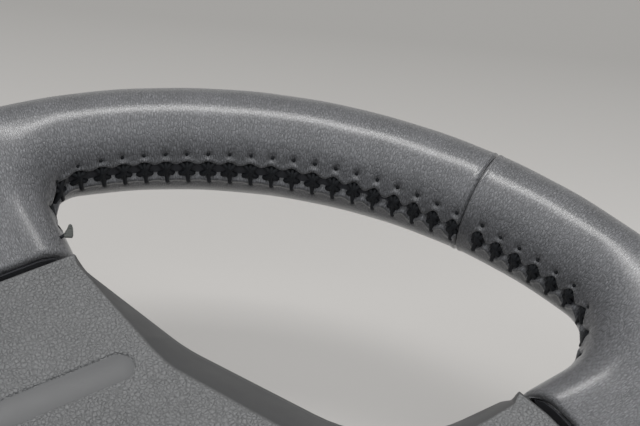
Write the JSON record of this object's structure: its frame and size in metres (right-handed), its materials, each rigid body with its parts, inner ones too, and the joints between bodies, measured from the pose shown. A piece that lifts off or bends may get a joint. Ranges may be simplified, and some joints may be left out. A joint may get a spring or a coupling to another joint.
{
  "type": "car steering wheel",
  "caption": "Leather-covered car steering wheel with a T of side and bottom spokes, a wide grained air bag cover and a sprung horn module over a cast armature.",
  "frame": {"origin": "on the steering axis, in the plane of the rear cover's flat rear face, on which the wheel rests", "axes": "+Z along the steering axis towards the driver, +Y to the top of the wheel, +X to the driver's right"},
  "size_m": [0.38, 0.38, 0.082],
  "materials": {
    "leather": "satin grained",
    "thread": "waxed thread",
    "foam": "matt",
    "cast_alloy": "as cast",
    "hub_steel": "machined",
    "rear_plastic": "fine grained",
    "cover_plastic": "pebble grained",
    "white_plastic": "smooth",
    "black_plastic": "smooth",
    "spring_steel": "drawn wire",
    "zinc_steel": "zinc plated",
    "contact_brass": "bright",
    "can_steel": "coated",
    "generator_steel": "pressed",
    "cushion_fabric": "coarse weave"
  },
  "bodies": {
    "wheel": {"armature": "cast_alloy", "hub_insert": "hub_steel", "rim_foam": "foam", "leather_top": "leather", "leather_left": "leather", "leather_bottom": "leather", "leather_right": "leather", "lacing_upper": "thread", "lacing_lower_left": "thread", "lacing_lower_right": "thread", "rear_cover": "rear_plastic", "rear_cover_screws": "zinc_steel", "guide_bolts": "zinc_steel", "horn_springs": "spring_steel", "contact_carrier": "black_plastic", "fixed_contact": "contact_brass"},
    "horn_module": {"airbag_cover": "cover_plastic", "airbag_can": "can_steel", "cushion_retainer": "zinc_steel", "airbag_cushion": "cushion_fabric", "gas_generator": "generator_steel", "generator_nuts": "zinc_steel", "guide_bushes": "white_plastic", "moving_contact": "contact_brass"}
  },
  "joints": [
    {"name": "horn_press", "type": "slide", "parent": "wheel", "child": "horn_module", "axis": [0, 0, -1], "range_m": [0, 0.002], "stiffness_N_per_m": 8000, "springref_m": -0.003, "deforming": ["horn_springs"]}
  ]
}
